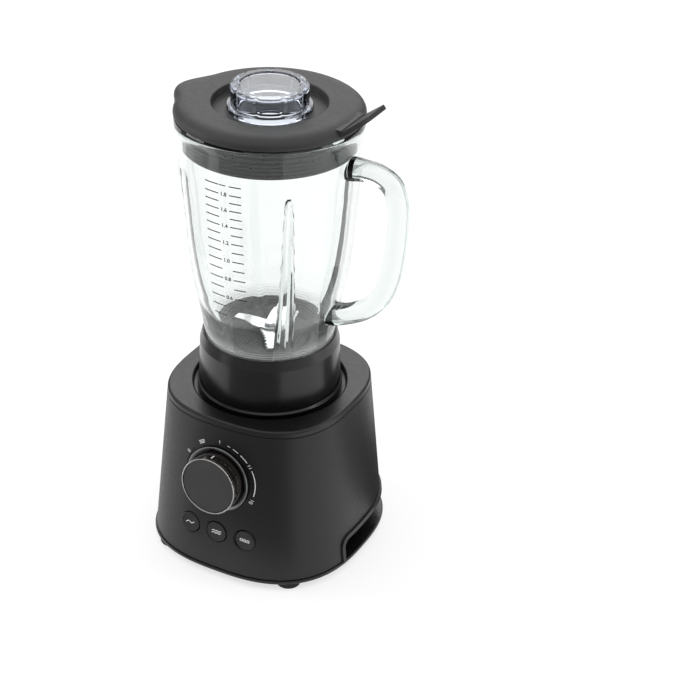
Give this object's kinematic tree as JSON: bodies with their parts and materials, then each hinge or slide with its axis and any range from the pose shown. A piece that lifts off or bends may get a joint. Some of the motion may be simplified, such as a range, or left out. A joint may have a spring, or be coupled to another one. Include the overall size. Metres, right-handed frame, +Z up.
{
  "type": "countertop blender",
  "caption": "Countertop blender with a motor base, front dial and keys, a handled glass jug with a bladed foot, a lid with a lift tab and a clear measuring cap.",
  "frame": {"origin": "on the table plane, at the centre of the footprint of the whole object; the blade axis stands at x = -15.80 mm, y = +5.38 mm", "axes": "+Z up along the blade axis; the front panel with the dial faces -Y; the jug handle points to +X and the pouring lip to -X"},
  "size_m": [0.2282, 0.2074, 0.439],
  "materials": {
    "housing": "fine matte, near black",
    "deck": "fine matte, dark grey",
    "lid": "soft matte, dark grey",
    "collar": "satin black",
    "trim": "satin black",
    "button": "matte, near black",
    "knob": "polished smoky black",
    "knob_face": "matte, near black",
    "chrome": "polished",
    "rubber": "matte",
    "gasket": "smooth, wet-looking black",
    "glass": "clear, slightly green at the edges",
    "clear": "clear plastic, slightly blue",
    "steel": "brushed",
    "carrier": "satin dark grey",
    "coupler": "hard rubber",
    "copper": "enamelled winding",
    "bronze": "sintered",
    "laminate": "stacked sheet",
    "nylon": "matte",
    "board": "lacquered board"
  },
  "bodies": {
    "base": {"housing": "housing", "bottom_plate": "trim", "foot_front_left": "rubber", "foot_front_right": "rubber", "foot_back_left": "rubber", "foot_back_right": "rubber", "plate_screw_front_left": "steel", "plate_screw_front_right": "steel", "plate_screw_back_left": "steel", "plate_screw_back_right": "steel", "cord_gland": "rubber", "top_deck": "deck", "shaft_seal": "rubber", "dial_bezel": "trim", "rotary_switch": "nylon", "pulse_switch": "trim", "smoothie_switch": "trim", "ice_switch": "trim", "control_board": "board", "motor_stator": "laminate", "field_coil_left": "copper", "field_coil_right": "copper", "brush_holder_left": "bronze", "brush_holder_right": "bronze", "motor_bolt_left": "steel", "motor_bolt_right": "steel", "upper_bearing": "steel", "lower_bearing": "steel", "upper_bracket": "laminate", "lower_bracket": "laminate", "motor_mount_front_left": "rubber", "motor_mount_front_right": "rubber", "motor_mount_back_left": "rubber", "motor_mount_back_right": "rubber"},
    "dial": {"knob": "knob", "knob_trim_ring": "chrome", "knob_face": "knob_face", "switch_spindle": "steel"},
    "pulse_key": {"pulse_button": "button"},
    "smoothie_key": {"smoothie_button": "button"},
    "ice_key": {"ice_button": "button"},
    "rotor": {"motor_shaft": "steel", "armature": "copper", "commutator": "copper", "cooling_fan": "nylon", "drive_coupler": "coupler"},
    "jug": {"glass_jug": "glass", "jug_collar": "collar", "jug_seal": "rubber", "blade_carrier": "carrier", "shaft_bush": "bronze"},
    "blades": {"blade_shaft": "steel", "lower_blade": "steel", "upper_blade": "steel", "blade_nut": "steel", "driven_coupler": "coupler"},
    "lid": {"lid": "lid", "lid_gasket": "gasket"},
    "cap": {"measuring_cap": "clear"}
  },
  "joints": [
    {"name": "dial_turn", "type": "hinge", "parent": "base", "child": "dial", "pos_m": [-0.0158, -0.08348, 0.102], "axis": [0, 0.9961, -0.0879], "range_deg": [-64, 114]},
    {"name": "pulse_press", "type": "slide", "parent": "base", "child": "pulse_key", "axis": [0, 0.9961, -0.0879], "range_m": [0, 0.0015], "stiffness_N_per_m": 400},
    {"name": "smoothie_press", "type": "slide", "parent": "base", "child": "smoothie_key", "axis": [0, 0.9961, -0.0879], "range_m": [0, 0.0015], "stiffness_N_per_m": 400},
    {"name": "ice_press", "type": "slide", "parent": "base", "child": "ice_key", "axis": [0, 0.9961, -0.0879], "range_m": [0, 0.0015], "stiffness_N_per_m": 400},
    {"name": "motor_spin", "type": "hinge", "parent": "base", "child": "rotor", "pos_m": [-0.0158, 0.00538, 0.1], "axis": [0, 0, 1], "continuous": true},
    {"name": "jug_lift", "type": "slide", "parent": "base", "child": "jug", "axis": [0, 0, 1], "range_m": [0, 0.06]},
    {"name": "blade_spin", "type": "hinge", "parent": "jug", "child": "blades", "pos_m": [-0.0158, 0.00538, 0.21], "axis": [0, 0, 1], "continuous": true},
    {"name": "lid_lift", "type": "slide", "parent": "jug", "child": "lid", "axis": [0, 0, 1], "range_m": [0, 0.05]},
    {"name": "cap_lift", "type": "slide", "parent": "lid", "child": "cap", "axis": [0, 0, 1], "range_m": [0, 0.035]}
  ],
  "couplings": [
    {"joint": "blade_spin", "follows": "motor_spin", "ratio": 1}
  ]
}
